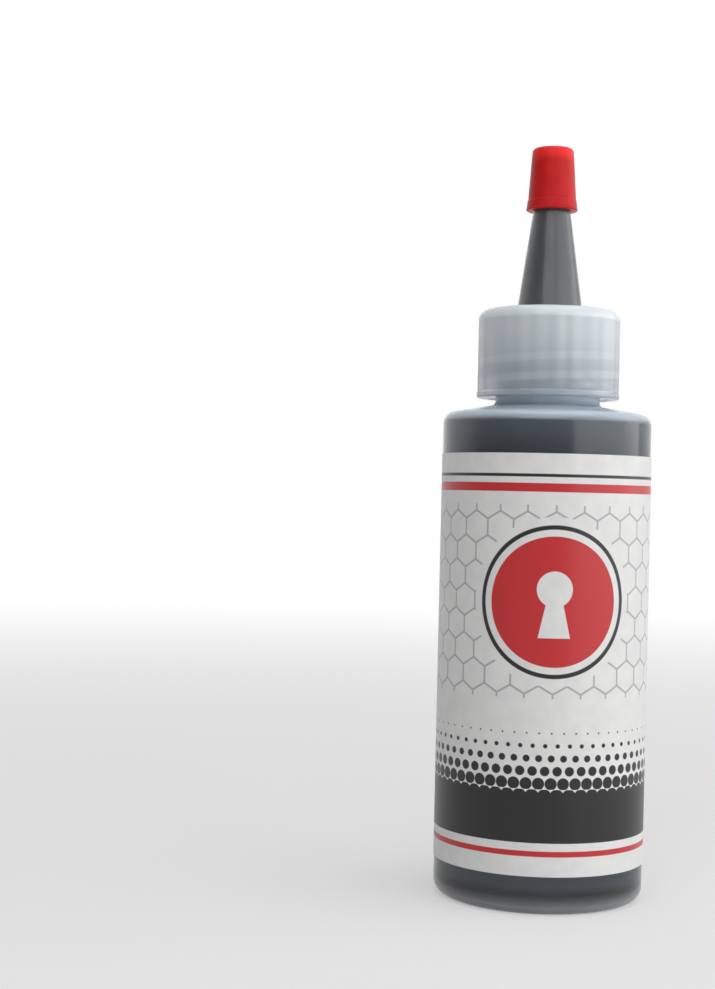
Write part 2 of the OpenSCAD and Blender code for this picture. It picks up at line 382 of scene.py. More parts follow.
# printed label: sizes of the print in millimetres, across from the middle of the front and up from
# the label's lower edge
printLook = {
    "paper": (0.80, 0.80, 0.79, 1),
    "paperShade": (0.75, 0.75, 0.745, 1),
    "black": (0.012, 0.012, 0.013, 1),
    "red": (0.56, 0.022, 0.026, 1),
    "grey": (0.42, 0.42, 0.43, 1),
    "edge": 0.05,
    "cloudSize": 2.5,
    "cloudSpan": (0.35, 0.65),
    "fibreSize": 0.25,
    "fibreDepth": 0.006,
    "roughPaper": 0.42,
    "roughInk": 0.33,
    "roundelUp": 44.0,
    "roundelRadius": 10.5,
    "ringInner": 11.6,
    "ringOuter": 12.3,
    "eyeRadius": 2.9,
    "eyeUp": 46.0,
    "slotTop": 45.0,
    "slotLow": 38.2,
    "slotNarrow": 1.1,
    "slotWide": 2.6,
    "topRule": (64.0, 64.5),
    "topBand": (61.6, 63.0),
    "lowBand": (5.4, 12.4),
    "lowRule": (3.2, 4.1),
    "dotPitch": 2.0,
    "dotTop": 25.0,
    "dotLarge": 1.24,
    "dotNone": -0.06,
    "combPitch": 4.6,
    "combLine": 0.16,
    "combSpan": (28.5, 59.5),
    "combClear": 13.6,
}


# ink cover, 0 to 1, of a shape from its signed distance in millimetres: full inside, none outside
def ink(tree, distance):
    return remap(tree, distance, -printLook["edge"], printLook["edge"], 1, 0)


# signed distance of a band between two heights: |up - middle| - half
def bandDistance(tree, up, span):
    middle, half = (span[0] + span[1]) / 2, (span[1] - span[0]) / 2
    return calc(tree, "SUBTRACT", calc(tree, "ABSOLUTE", calc(tree, "SUBTRACT", up, middle)), half)


# distance from a centre on the flat label: sqrt(across^2 + (up - centre)^2)
def fromCentre(tree, across, up, centre):
    rise = calc(tree, "SUBTRACT", up, centre)
    square = calc(tree, "ADD", calc(tree, "MULTIPLY", across, across), calc(tree, "MULTIPLY", rise, rise))
    return calc(tree, "SQRT", square)


# keyhole: a round eye joined to a slot that widens downwards
def keyholeDistance(tree, across, up):
    look = printLook
    eye = calc(tree, "SUBTRACT", fromCentre(tree, across, up, look["eyeUp"]), look["eyeRadius"])
    half = remap(tree, up, look["slotLow"], look["slotTop"], look["slotWide"], look["slotNarrow"])
    side = calc(tree, "SUBTRACT", calc(tree, "ABSOLUTE", across), half)
    slot = calc(tree, "MAXIMUM", side, bandDistance(tree, up, (look["slotLow"], look["slotTop"])))
    return calc(tree, "MINIMUM", eye, slot)


# dots in staggered rows that shrink upwards from the low band: distance from the row's nearest dot
# less a radius that falls to nothing at dotTop
def dotDistance(tree, across, up):
    look = printLook
    row = calc(tree, "FLOOR", calc(tree, "DIVIDE", up, look["dotPitch"]))
    stagger = calc(tree, "MULTIPLY", row, 0.5)
    column = calc(tree, "ADD", calc(tree, "DIVIDE", across, look["dotPitch"]), stagger)
    sideways = calc(tree, "SUBTRACT", calc(tree, "FRACT", column), 0.5)
    upwards = calc(tree, "SUBTRACT", calc(tree, "FRACT", calc(tree, "DIVIDE", up, look["dotPitch"])), 0.5)
    gap = calc(tree, "MULTIPLY", fromCentre(tree, sideways, upwards, 0.0), look["dotPitch"])
    radius = remap(tree, up, look["lowBand"][1], look["dotTop"], look["dotLarge"], look["dotNone"])
    span = bandDistance(tree, up, (look["lowBand"][0], look["dotTop"]))
    return calc(tree, "MAXIMUM", calc(tree, "SUBTRACT", gap, radius), span)


# honeycomb: distance to the edge of the nearest six-sided cell. Cells sit on two rectangular grids
# of 1 by sqrt(3), one shifted by half, and the nearer centre wins.
def combDistance(tree, across, up):
    look = printLook
    x, y = (calc(tree, "DIVIDE", value, look["combPitch"]) for value in (across, up))
    tall = math.sqrt(3)

    def cell(shift):
        sides = []
        for value, size in ((x, 1.0), (y, tall)):
            moved = calc(tree, "FLOORED_MODULO", calc(tree, "ADD", value, shift * size), size)
            sides.append(calc(tree, "ABSOLUTE", calc(tree, "SUBTRACT", moved, size / 2)))
        level = calc(tree, "MULTIPLY", sides[0], 0.5)
        rise = calc(tree, "MULTIPLY", sides[1], tall / 2)
        return calc(tree, "MAXIMUM", sides[0], calc(tree, "ADD", level, rise))

    nearest = calc(tree, "MINIMUM", cell(0.0), cell(0.5))
    toEdge = calc(tree, "MULTIPLY", calc(tree, "SUBTRACT", 0.5, nearest), look["combPitch"])
    return calc(tree, "SUBTRACT", toEdge, look["combLine"])


def labelMaterial(outerRadius, lowEdge):
    look = printLook
    material, tree, shader = newMaterial("printedLabel")
    x, y, z = splitPlace(tree)
    turn = calc(tree, "ARCTAN2", x, calc(tree, "MULTIPLY", y, -1.0))
    across = calc(tree, "MULTIPLY", turn, outerRadius)
    up = calc(tree, "SUBTRACT", calc(tree, "DIVIDE", z, mm), lowEdge)
    roundel = fromCentre(tree, across, up, look["roundelUp"])
    cloud = remap(tree, grain(tree, look["cloudSize"]), *look["cloudSpan"], 0, 1)
    colour = mixColour(tree, cloud, look["paperShade"], look["paper"])
    cover = []

    # prints a colour over what is there
    def printOver(share, tint):
        nonlocal colour
        colour = mixColour(tree, share, colour, tint)
        cover.append(share)

    clear = calc(tree, "SUBTRACT", look["combClear"], roundel)
    field = calc(tree, "MAXIMUM", bandDistance(tree, up, look["combSpan"]), clear)
    printOver(ink(tree, calc(tree, "MAXIMUM", combDistance(tree, across, up), field)), look["grey"])
    printOver(ink(tree, dotDistance(tree, across, up)), look["black"])
    bands = (("lowBand", "black"), ("lowRule", "red"), ("topBand", "red"), ("topRule", "black"))
    for band, tint in bands:
        printOver(ink(tree, bandDistance(tree, up, look[band])), look[tint])
    ringMiddle = (look["ringInner"] + look["ringOuter"]) / 2
    ringHalf = (look["ringOuter"] - look["ringInner"]) / 2
    offRing = calc(tree, "ABSOLUTE", calc(tree, "SUBTRACT", roundel, ringMiddle))
    printOver(ink(tree, calc(tree, "SUBTRACT", offRing, ringHalf)), look["black"])
    disc = calc(tree, "SUBTRACT", roundel, look["roundelRadius"])
    hole = calc(tree, "MULTIPLY", keyholeDistance(tree, across, up), -1.0)
    printOver(ink(tree, calc(tree, "MAXIMUM", disc, hole)), look["red"])
    inked = cover[0]
    for share in cover[1:]:
        inked = calc(tree, "MAXIMUM", inked, share)
    feed(tree, shader.inputs["Base Color"], colour)
    feed(tree, shader.inputs["Roughness"], remap(tree, inked, 0, 1, look["roughPaper"], look["roughInk"]))
    addBump(tree, shader, grain(tree, look["fibreSize"]), look["fibreDepth"])
    return material


graphite = graphiteMaterial("graphitePowder")
print("materials ready")


# bottle: half section from the middle of the base, up the outside and down the inside to the floor
bottleSizes = {
    "radius": nodeTop("squeeze_bottle", 0),
    "top": nodeTop("squeeze_bottle", 2),
    "wall": 1.0,
    "baseWall": 2.2,
    "heel": 2.2,
    "innerHeel": 1.6,
    "footWidth": 2.0,
    "pushUp": 1.2,
    "shoulder": 82.6,
    "shoulderRound": 2.0,
    "shoulderSlope": 10.0,
    "neckRadius": 8.8,
    "neckWall": 1.4,
    "neckFillet": 0.8,
    "lipRound": 0.45,
    "threadDepth": 1.0,
    "threadLow": 3.8,
    "seamHeight": 0.045,
    "seamWidth": 0.22,
    "seamColumns": (0.3, 0.6, 1.0, 1.6, 2.5),
    "columns": 224,
}
neckThread = {
    "startAngle": 180.0,
    "low": bottleSizes["shoulder"] + bottleSizes["threadLow"],
    "pitch": 3.175,
    "turns": 1.5,
    "rootWidth": 1.72,
    "crestWidth": 0.8,
    "runOut": 0.17,
}
bottleLook = {
    "hazeDark": (0.60, 0.71, 0.84, 1),
    "hazePale": (0.72, 0.81, 0.90, 1),
    # painted shade: haze colour over the heel, darker and greyer than the rest of the wall
    "heelPaintedShade": (0.29, 0.30, 0.32, 1),
    "heelShadeSpan": (3.0, 5.0),
    "rough": 0.16,
    "clear": 0.3,
    "wallClear": 0.665,
    "wallSpan": (0.8, 3.6),
    "bandMilk": 0.05,
    "bandDepth": 5.0,
    "shoulderMilk": 0.6,
    "shoulderRise": 1.2,
    "neckMilk": 0.15,
    "neckMilkFrom": 0.4,
    "neckMilkTo": 0.2,
    "neckClear": 0.6,
    "neckClearSpan": (1.0, 2.0),
    "threadMilk": 0.7,
}
powderCling = 0.06  # the powder clings to the wall: its skin lies this far under the wall's own


# half sections of the body share this: the slope under the neck and the shoulder's corner
def shoulderPlaces(depth):
    s = bottleSizes
    slope = math.radians(s["shoulderSlope"])
    cornerR = s["radius"] - s["shoulderRound"]
    drop = s["shoulderRound"] + math.sin(slope) * (cornerR - s["neckRadius"])
    cornerZ = s["shoulder"] - drop / math.cos(slope)
    return slope, cornerR, cornerZ, s["shoulderRound"] - depth


# height of the shoulder's surface, a depth under the outside, at a radius
def shoulderHeight(radius, depth):
    slope = math.radians(bottleSizes["shoulderSlope"])
    fall = depth + math.sin(slope) * (radius - bottleSizes["neckRadius"])
    return bottleSizes["shoulder"] - fall / math.cos(slope)


# radius and centre height of the dome pushed up into the base
def baseDome():
    s = bottleSizes
    rim = s["radius"] - s["heel"] - s["footWidth"]
    radius = (rim * rim + s["pushUp"] ** 2) / (2 * s["pushUp"])
    return rim, radius, s["pushUp"] - radius


# inside of the body a depth from the outside: floor dome, heel, wall, and the shoulder's corner up to
# an angle
def innerBody(depth, floor, heel, cornerAngle, rows):
    _, cornerR, cornerZ, cornerRound = shoulderPlaces(depth)
    _, domeRadius, domeCentre = baseDome()
    dome = domeRadius + floor
    rim = math.sqrt(dome ** 2 - (floor - domeCentre) ** 2)
    side = bottleSizes["radius"] - depth
    return joinRuns(
        arc(0, domeCentre, dome, 90, math.degrees(math.acos(rim / dome)), 12),
        line((rim, floor), (side - heel, floor), 3),
        arc(side - heel, floor + heel, heel, -90, 0, 10),
        line((side, floor + heel), (side, cornerZ), rows),
        arc(cornerR, cornerZ, cornerRound, 0, cornerAngle, 8),
    )


def buildBottle():
    s = bottleSizes
    slope, cornerR, cornerZ, cornerRound = shoulderPlaces(0)
    rim, domeRadius, domeCentre = baseDome()
    fillet, lip = s["neckFillet"], s["lipRound"]
    bore = s["neckRadius"] - s["neckWall"]
    filletZ = s["shoulder"] + fillet * (1 - math.sin(slope)) / math.cos(slope)
    filletFoot = (s["neckRadius"] + fillet - fillet * math.sin(slope), filletZ - fillet * math.cos(slope))
    cornerTop = (cornerR + cornerRound * math.sin(slope), cornerZ + cornerRound * math.cos(slope))
    outside = joinRuns(
        arc(0, domeCentre, domeRadius, 90, math.degrees(math.acos(rim / domeRadius)), 14),
        line((rim, 0), (s["radius"] - s["heel"], 0), 4),
        arc(s["radius"] - s["heel"], s["heel"], s["heel"], -90, 0, 14),
        line((s["radius"], s["heel"]), (s["radius"], cornerZ), 30),
        arc(cornerR, cornerZ, cornerRound, 0, 90 - s["shoulderSlope"], 12),
        line(cornerTop, filletFoot, 8),
        arc(s["neckRadius"] + fillet, filletZ, fillet, 270 - s["shoulderSlope"], 180, 8),
        line((s["neckRadius"], filletZ), (s["neckRadius"], s["top"] - lip), 96),
    )
    mouth = joinRuns(
        arc(s["neckRadius"] - lip, s["top"] - lip, lip, 0, 90, 6),
        arc(bore + lip, s["top"] - lip, lip, 90, 180, 6),
    )
    body = innerBody(s["wall"], s["baseWall"], s["innerHeel"], 90 - s["shoulderSlope"], 20)
    boreFoot = (bore + lip, shoulderHeight(bore + lip, s["wall"]))
    inside = joinRuns(body, line(body[-1], boreFoot, 10))[::-1]
    underLip = boreFoot[1] + lip
    boreWall = joinRuns(
        line((bore, s["top"] - lip), (bore, underLip), 10),
        arc(bore + lip, underLip, lip, 180, 270 - s["shoulderSlope"], 5),
    )
    section = joinRuns(outside, mouth, boreWall, inside)
    # extra columns at both mould seams, where the seam's ridge is narrow
    near = np.array(s["seamColumns"]) * s["seamWidth"] / s["radius"]
    near = np.concatenate([-near, near])
    angles = np.concatenate([roundAngles(s["columns"]), near, near + np.pi])
    angles = np.sort(np.mod(angles, 2 * np.pi))
    # relief: the screw ridge on the neck, and a fine ridge where the two mould halves met,
    # height exp(-(distance / width)^2)
    row = np.arange(len(section))[:, None]
    onOutside = row < len(outside)
    onNeck = onOutside & (section[:, 1:] > filletZ)
    ridge = s["threadDepth"] * threadRidge(angles, section[:, 1:], neckThread) * onNeck
    fromSeam = np.abs(np.sin(angles)) * section[:, :1]
    seam = s["seamHeight"] * np.exp(-(fromSeam / s["seamWidth"]) ** 2) * onOutside
    seam = seam * ease(section[:, 1:] / s["heel"])
    mesh = turnSection("bottleShell", section, angles, False, ridge + seam)
    look = bottleLook
    wallClear = (*look["wallSpan"], look["wallClear"])
    bandMilk = (cornerZ - look["bandDepth"], cornerZ, -look["bandMilk"])
    shoulderMilk = (cornerZ, cornerZ + look["shoulderRise"], -look["shoulderMilk"])
    neckMilk = (s["shoulder"] - look["neckMilkFrom"], filletZ - look["neckMilkTo"], -look["neckMilk"])
    clearFrom, clearTo = look["neckClearSpan"]
    neckClear = (filletZ + clearFrom, filletZ + clearTo, look["neckClear"])
    steps = (wallClear, bandMilk, shoulderMilk, neckMilk, neckClear)
    bottlePoly = naturalMaterial("naturalBottlePoly", look, steps, neckThread)
    addPiece("bottleShell", mesh, bottlePoly, "bottle", "squeeze_bottle")


buildBottle()


# label: a thin sheet bent round the body, with rounded corners at the back and one end a little loose
labelSizes = {
    "radius": nodeTop("wrap_label", 0),
    "low": nodeLow("wrap_label", 2),
    "top": nodeTop("wrap_label", 2),
    "thickness": 0.1,
    "backGap": 5.0,
    "cornerRound": 2.0,
    "cornerRows": 9,
    "looseLift": 0.22,
    "looseSpan": 5.0,
    "looseRise": 60.0,
    "columns": 280,
    "rows": 60,
}


# sheet: point(u, v) at angle u times the half wrap, which draws in as a quarter circle within a corner's
# radius of the upper and lower edges; height runs from low to top with v
def buildLabel():
    s = labelSizes
    u = np.linspace(-1, 1, s["columns"])[None, :]
    bend = np.linspace(0, np.pi / 2, s["cornerRows"])
    corner = s["cornerRound"] * (1 - np.cos(bend))
    middle = np.linspace(s["low"] + s["cornerRound"], s["top"] - s["cornerRound"], s["rows"])
    height = np.concatenate([s["low"] + corner[:-1], middle, (s["top"] - corner[:-1])[::-1]])[:, None]
    fromEdge = np.minimum(height - s["low"], s["top"] - height)
    depth = np.clip(s["cornerRound"] - fromEdge, 0, s["cornerRound"])
    drawnIn = s["cornerRound"] - np.sqrt(s["cornerRound"] ** 2 - depth ** 2)
    halfWrap = np.pi - s["backGap"] / 2 / s["radius"] - drawnIn / s["radius"]
    turn = u * halfWrap
    toEnd = (1 - np.abs(u)) * np.pi * s["radius"]
    loose = s["looseLift"] * ease(1 - toEnd / s["looseSpan"]) * (u > 0)
    loose = loose * ease((height - s["low"]) / s["looseRise"])

    def layer(radius):
        r = radius + loose
        return np.stack([r * np.sin(turn), -r * np.cos(turn), height + 0 * turn], axis=-1)

    outer, inner = layer(s["radius"]), layer(s["radius"] - s["thickness"])
    rows, columns = turn.shape
    index = np.arange(rows * columns).reshape(rows, columns)
    corners = (index[:-1, :-1], index[:-1, 1:], index[1:, 1:], index[1:, :-1])
    front = np.stack(corners, axis=-1).reshape(-1, 4)
    back = front[:, ::-1] + rows * columns
    border = np.concatenate([index[0, :-1], index[:-1, -1], index[-1, :0:-1], index[:0:-1, 0]])
    after = np.roll(border, -1)
    rim = np.stack([after, border, border + rows * columns, after + rows * columns], axis=-1)
    points = np.concatenate([outer.reshape(-1, 3), inner.reshape(-1, 3)])
    mesh = makeMesh("bottleLabel", points, np.concatenate([front, back, rim]), np.zeros((0, 3), int))
    material = labelMaterial(s["radius"], s["low"])
    addPiece("bottleLabel", mesh, material, "bottle", "wrap_label")


buildLabel()


# powder: fills the body to just under the shoulder; its skin is a little uneven where it packs
powderSizes = {
    "top": nodeTop("graphite_powder", 2),
    "waves": ((3, 31.0, 0.4, 1.0), (7, 17.0, 1.9, 0.8), (13, -9.0, 0.9, 0.6), (23, 5.0, 2.6, 0.5)),
    "uneven": 0.05,
    "columns": 160,
    "rows": 60,
}


def buildPowder():
    s, b = powderSizes, bottleSizes
    depth = b["wall"] - powderCling
    floor, heel = b["baseWall"] - powderCling, b["innerHeel"] + powderCling
    _, _, cornerZ, cornerRound = shoulderPlaces(depth)
    cornerAngle = math.degrees(math.asin((s["top"] - cornerZ) / cornerRound))
    body = innerBody(depth, floor, heel, cornerAngle, s["rows"])
    section = joinRuns(body, line(body[-1], (0, s["top"]), 24))
    angles = roundAngles(s["columns"])
    lowest = -s["uneven"] * (1 + unevenness(angles, section[:, 1:], s["waves"])) / 2
    mesh = turnSection("powderFill", section, angles, False, lowest)
    addPiece("powderFill", mesh, graphite, "bottle", "graphite_powder")


buildPowder()


# powder films: closed thin rings whose inner skin is uneven, as a share of the thickness
filmSizes = {
    "thickness": 0.2,
    "share": 0.75,
    "shareSpread": 0.25,
    "waves": ((4, 7.0, 0.3, 1.0), (9, -4.0, 1.1, 0.7), (17, 2.5, 2.2, 0.5)),
    "columns": 128,
    "rows": 36,
}
# the neck's film fades from neckFade above its low end to neckFade under its top, the spout's film over
# its whole height and spoutFade more
filmLook = {
    "streakSize": 1.2,
    "streakDetail": 4.0,
    "streakStretch": (1, 1, 0.25),
    "streakShare": 0.8,
    "neckDark": (0.14, 0.145, 0.15, 1),
    # painted light: the neck film's pale upper part lightens the cap's skirt seen through it
    "neckPaintedLight": (0.78, 0.80, 0.82, 1),
    "neckFade": (5.0, 3.0),
    "spoutFade": 20.0,
}


# film between an outer wall line and the same line moved towards the axis
def buildFilm(name, low, top, node, body, material):
    s = filmSizes
    section = np.concatenate([line(low, top, s["rows"]), line(top, low, s["rows"])])
    angles = roundAngles(s["columns"])
    inner = (np.arange(len(section)) >= s["rows"])[:, None]
    thin = s["share"] + s["shareSpread"] * unevenness(angles, section[:, 1:], s["waves"])
    radius = section[:, :1] - inner * s["thickness"] * thin
    mesh = turnedMesh(name, radius, section[:, 1:] + 0 * angles, angles, True)
    addPiece(name, mesh, material, body, node)


# film colour: darker towards the low height and paler towards the high one, between two heights
def filmMaterial(name, darkHeight, paleHeight, dark, pale):
    look = filmLook
    material, tree, shader = newMaterial(name)
    height = splitPlace(tree)[2]
    streaks = grain(tree, look["streakSize"], look["streakDetail"], look["streakStretch"])
    rise = heightStep(tree, height, darkHeight, paleHeight, 0, 1)
    share = calc(tree, "MULTIPLY_ADD", calc(tree, "SUBTRACT", streaks, 0.5), look["streakShare"], rise)
    share = remap(tree, share, 0, 1, 0, 1)
    feed(tree, shader.inputs["Base Color"], mixColour(tree, share, dark, pale))
    shader.inputs["Roughness"].default_value = graphiteLook["sheenRough"]
    return material


def buildFilms():
    s, look = capSizes, filmLook
    neckR = bottleSizes["neckRadius"] - bottleSizes["neckWall"] + powderCling
    neckLow, neckTop = nodeLow("neck_dust", 2), nodeTop("neck_dust", 2)
    darkHeight, paleHeight = neckLow + look["neckFade"][0], neckTop - look["neckFade"][1]
    neckFilm = filmMaterial("neckFilm", darkHeight, paleHeight, look["neckDark"], look["neckPaintedLight"])
    buildFilm("neckFilm", (neckR, neckLow), (neckR, neckTop), "neck_dust", "bottle", neckFilm)
    spoutLow, spoutTop = nodeLow("spout_dust", 2), nodeTop("spout_dust", 2)
    plate = s["spoutTop"] - s["spoutHeight"]
    taper = (s["boreBase"] - s["orifice"]) / s["spoutHeight"]
    spoutR, endR = (s["boreBase"] - taper * (z - plate) + powderCling for z in (spoutLow, spoutTop))
    dark, pale = graphiteLook["dark"], graphiteLook["pale"]
    spoutFilm = filmMaterial("spoutFilm", spoutLow, spoutTop + look["spoutFade"], dark, pale)
    buildFilm("spoutFilm", (spoutR, spoutLow), (endR, spoutTop), "spout_dust", "spout_powder", spoutFilm)


# cap: ribbed skirt, flat top, tapered spout, sealing ring and inner thread in one moulding
capSizes = {
    "low": nodeLow("spout_cap", 2),
    "spoutTop": nodeTop("spout_cap", 2),
    "spoutHeight": 26.0,
    "topWall": 1.75,
    "bore": 10.1,
    "groove": 11.9,
    "ribHeight": 0.1,
    "ribs": 25,
    "ribFirst": -90.0,
    "columnsPerRib": 20,
    "lipHeight": 1.0,
    "lipOut": 0.05,
    "lipRound": 0.3,
    "lipBevel": 0.1,
    "lipEdge": 0.03,
    "ribFoot": 0.02,
    "ribStart": 0.08,
    "edgeRound": 2.0,
    "edgeFrom": 8.0,
    "spoutBase": 5.5,
    "spoutEnd": 1.85,
    "spoutFillet": 0.5,
    "endRound": 0.35,
    "boreBase": 4.0,
    "orifice": 0.8,
    "plugRadius": 7.25,
    "plugWall": 1.0,
    "plugLength": 2.4,
    "bevel": 0.15,
    "boreBevel": 0.2,
    "wideBevel": 0.3,
    "threadDepth": 1.0,
    "threadZone": 8.1,
    "threadGap": 0.1,
}
capLook = {
    "hazeDark": (0.77, 0.835, 0.90, 1),
    "hazePale": (0.87, 0.915, 0.955, 1),
    "rough": 0.2,
    "clear": 0.74,
    "skirtMilk": 0.42,
    "plateMilk": 0.22,
    "plateFrom": 0.4,
    "plateTo": 0.2,
    "footClear": 0.82,
    "footRise": 0.7,
    "spoutClear": 0.02,
    "spoutSpan": (1.0, 8.0),
    "threadMilk": 0.05,
}
# half a pitch under the neck's ridge, and it starts a quarter of a turn farther round
capThread = dict(
    neckThread,
    turns=1.25,
    low=neckThread["low"] - 0.25 * neckThread["pitch"],
    startAngle=neckThread["startAngle"] + 90,
)


def buildCap():
    s = capSizes
    top = s["spoutTop"] - s["spoutHeight"]
    ceiling = top - s["topWall"]
    lean = math.atan((s["spoutBase"] - s["spoutEnd"]) / s["spoutHeight"])
    leanDegrees = math.degrees(lean)

    def spoutR(z):
        return s["spoutBase"] - math.tan(lean) * (z - top)

    def boreR(z):
        return s["boreBase"] + (s["orifice"] - s["boreBase"]) * (z - top) / s["spoutHeight"]

    rib = s["groove"] + s["ribHeight"]
    lip = rib + s["lipOut"]
    edge, lipTurn = s["edgeRound"], s["lipRound"]
    lipTop = s["low"] + s["lipHeight"]
    fillet, end = s["spoutFillet"], s["endRound"]
    filletR = spoutR(top + fillet) + fillet / math.cos(lean)
    endR = spoutR(s["spoutTop"] - end) - end / math.cos(lean)
    plugIn = s["plugRadius"] - s["plugWall"]
    plugR, plugLow, plugRound = s["plugRadius"], ceiling - s["plugLength"], s["plugWall"] / 2
    bevel, wide, spoutTop = s["bevel"], s["wideBevel"], s["spoutTop"]
    boreTop, boreLow = spoutTop - wide, ceiling + s["boreBevel"]
    threadTop = s["low"] + s["threadZone"]
    skirt = joinRuns(
        arc(lip - lipTurn, s["low"] + lipTurn, lipTurn, -90, 0, 5),
        line((lip, s["low"] + lipTurn), (lip, lipTop - s["lipBevel"]), 3),
        line((lip - s["lipEdge"], lipTop - s["lipEdge"]), (rib, lipTop + s["ribFoot"]), 2),
        line((rib, lipTop + s["ribStart"]), (rib, top - edge), 12),
    )
    edgeRun = arc(lip - edge, top - edge, edge, s["edgeFrom"], 90, 9)
    spout = joinRuns(
        line((lip - edge - wide, top), (filletR, top), 5),
        arc(filletR, top + fillet, fillet, 270, 180 + leanDegrees, 7),
        line((spoutR(top + fillet), top + fillet), (spoutR(spoutTop - end), spoutTop - end), 24),
        arc(endR, spoutTop - end, end, leanDegrees, 90, 6),
        line((s["orifice"] + bevel, spoutTop), (s["orifice"], spoutTop - bevel), 3),
        line((boreR(boreTop), boreTop), (boreR(boreLow), boreLow), 16),
        line((boreR(ceiling) + s["boreBevel"], ceiling), (plugIn - bevel, ceiling), 3),
        line((plugIn, ceiling - bevel), (plugIn, plugLow + wide), 4),
        arc(plugR - plugRound, plugLow + plugRound, plugRound, 180, 360, 9),
        line((plugR, plugLow + 2 * wide), (plugR, ceiling - bevel), 4),
        line((plugR + bevel, ceiling), (s["bore"] - wide, ceiling), 3),
        line((s["bore"], ceiling - wide), (s["bore"], threadTop + s["threadGap"]), 4),
    )
    threaded = joinRuns(
        line((s["bore"], threadTop), (s["bore"], s["low"] + lipTurn), 58),
        arc(s["bore"] + lipTurn, s["low"] + lipTurn, lipTurn, 180, 270, 4),
    )
    section = np.concatenate([skirt, edgeRun, spout, threaded])
    angles = roundAngles(s["ribs"] * s["columnsPerRib"])
    # rib outline seen from above: the groove's radius plus a wave, ribHeight (1 + cos(ribs a)) / 2,
    # a from the first rib
    wave = (1 + np.cos(s["ribs"] * (angles - math.radians(s["ribFirst"])))) / 2
    outline = s["groove"] + s["ribHeight"] * wave
    radius = section[:, :1] + 0 * angles
    row = np.arange(len(section))[:, None]
    ribbed = (row < len(skirt) + len(edgeRun)) & (section[:, 1:] > lipTop)
    radius = np.where(ribbed, np.minimum(radius, outline), radius)
    inner = row >= len(section) - len(threaded)
    radius = radius - inner * s["threadDepth"] * threadRidge(angles, section[:, 1:], capThread)
    mesh = turnedMesh("spoutCap", radius, section[:, 1:] + 0 * angles, angles, True)
    look = capLook
    skirtMilk = (s["low"], ceiling, -look["skirtMilk"])
    plateMilk = (ceiling - look["plateFrom"], ceiling + look["plateTo"], -look["plateMilk"])
    footClear = (top, top + look["footRise"], look["footClear"])
    clearFrom, clearTo = look["spoutSpan"]
    spoutClear = (top + clearFrom, top + clearTo, look["spoutClear"])
    steps = (skirtMilk, plateMilk, footClear, spoutClear)
    # the skirt is painted milkier, and so lighter, along the neck's pale crests close behind it: painted
    # light
    capPoly = naturalMaterial("naturalCapPoly", look, steps, neckThread)
    addPiece("spoutCap", mesh, capPoly, "cap", "spout_cap")


buildCap()
buildFilms()


# sealing tip: half section from the middle of the top, down the outside, up the inside to the roof
tipSizes = {
    "low": nodeLow("sealing_tip", 2),
    "top": nodeTop("sealing_tip", 2),
    "rim": nodeTop("sealing_tip", 0),
    "topWall": 1.35,
    "crown": 3.47,
    "side": 4.06,
    "beadHeight": 1.7,
    "shelf": 0.11,
    "shelfRound": 0.12,
    "shelfFrom": 80.0,
    "mouthLip": 0.42,
    "mouthStep": 0.07,
    "mouthBevel": 0.1,
    "flarePower": 1.3,
    "rimRound": 0.24,
    "rimFrom": 55.0,
    "rimFlat": 0.02,
    "seat": 0.05,
    "roofBevel": 0.2,
    "edgeRound": 0.7,
    "clear": 0.12,
    "gateRadius": 0.7,
    "gateFloor": 0.49,
    "gateDepth": 0.12,
    "columns": 144,
}


def buildTip():
    s, c = tipSizes, capSizes
    beadTop = s["low"] + s["beadHeight"]
    lean = math.atan((s["side"] - s["crown"]) / (s["top"] - beadTop))
    edge, rim = s["edgeRound"], s["rimRound"]
    edgeZ = s["top"] - edge
    edgeR = s["crown"] + edge * math.tan(lean) - edge / math.cos(lean)
    roof = s["top"] - s["topWall"]
    spoutLean = (c["spoutBase"] - c["spoutEnd"]) / c["spoutHeight"]

    def insideR(z):
        return c["spoutEnd"] + spoutLean * (c["spoutTop"] - z) + s["clear"]

    # bead: a narrow shelf with a round edge, then a flare from the shelf to the lip's upper edge,
    # by (1 - s)^flarePower
    shelfR, turn = s["side"] + s["shelf"], s["shelfRound"]
    lipR, lipZ = s["rim"] - s["mouthStep"], s["low"] + s["mouthLip"]
    flareZ = np.linspace(beadTop - turn, lipZ + s["seat"], 12)
    share = (flareZ - flareZ[-1]) / (flareZ[0] - flareZ[-1])
    flare = np.stack([shelfR + (lipR - shelfR) * (1 - share) ** s["flarePower"], flareZ], axis=1)
    gateZ = s["top"] - s["gateDepth"]
    edgeFoot = (edgeR + edge * math.cos(lean), edgeZ + edge * math.sin(lean))
    mouthZ, roofLow = s["low"] + s["mouthBevel"], roof - s["roofBevel"]
    lipIn = s["rim"] - rim - s["rimFlat"]
    section = joinRuns(
        line((0, gateZ), (s["gateFloor"], gateZ), 3),
        line((s["gateRadius"], s["top"]), (edgeR, s["top"]), 4),
        arc(edgeR, edgeZ, edge, 90, math.degrees(lean), 9),
        line(edgeFoot, (s["side"], beadTop + s["seat"]), 24),
        arc(shelfR - turn, beadTop - turn, turn, s["shelfFrom"], 0, 6),
        flare,
        arc(s["rim"] - rim, s["low"] + rim, rim, s["rimFrom"], -90, 10),
        line((lipIn, s["low"]), (insideR(s["low"]) + s["mouthBevel"], s["low"]), 3),
        line((insideR(mouthZ), mouthZ), (insideR(roofLow), roofLow), 14),
        line((insideR(roof) - s["roofBevel"], roof), (0, roof), 4),
    )[::-1]
    mesh = turnSection("sealingTip", section, roundAngles(s["columns"]), False)
    addPiece("sealingTip", mesh, redMaterial(s["top"]), "tip", "sealing_tip")


buildTip()
print("pieces ready")


